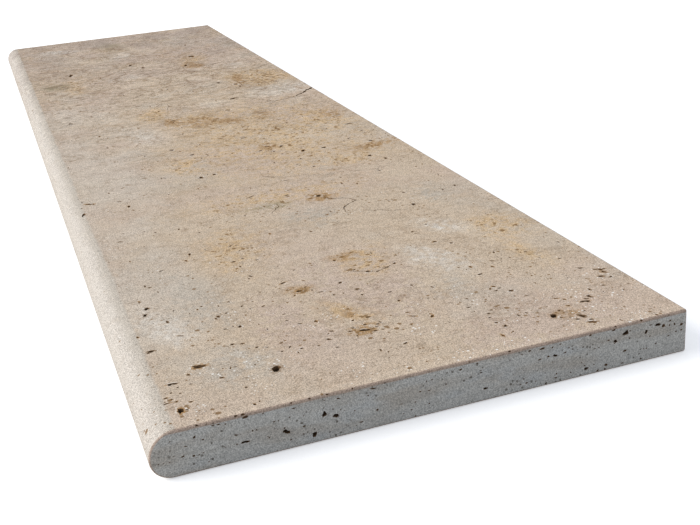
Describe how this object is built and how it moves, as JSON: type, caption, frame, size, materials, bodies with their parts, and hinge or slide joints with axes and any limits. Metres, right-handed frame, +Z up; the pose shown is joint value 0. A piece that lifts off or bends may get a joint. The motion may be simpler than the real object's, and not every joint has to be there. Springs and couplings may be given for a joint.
{
  "type": "stair tread",
  "caption": "Long flat travertine stair tread with a fully rounded front nose, square sawn ends with eased edges and open natural voids.",
  "frame": {"origin": "centre of the underside's bounding rectangle, on the plane that the tread lies on", "axes": "+X along the step towards the end that faces the camera in the picture, +Y from the rounded nose to the square back edge, +Z up out of the walking face"},
  "size_m": [1.4, 0.35, 0.03],
  "materials": {
    "travertine": "honed, unfilled"
  },
  "bodies": {
    "root": {"tread": "travertine"}
  },
  "joints": []
}
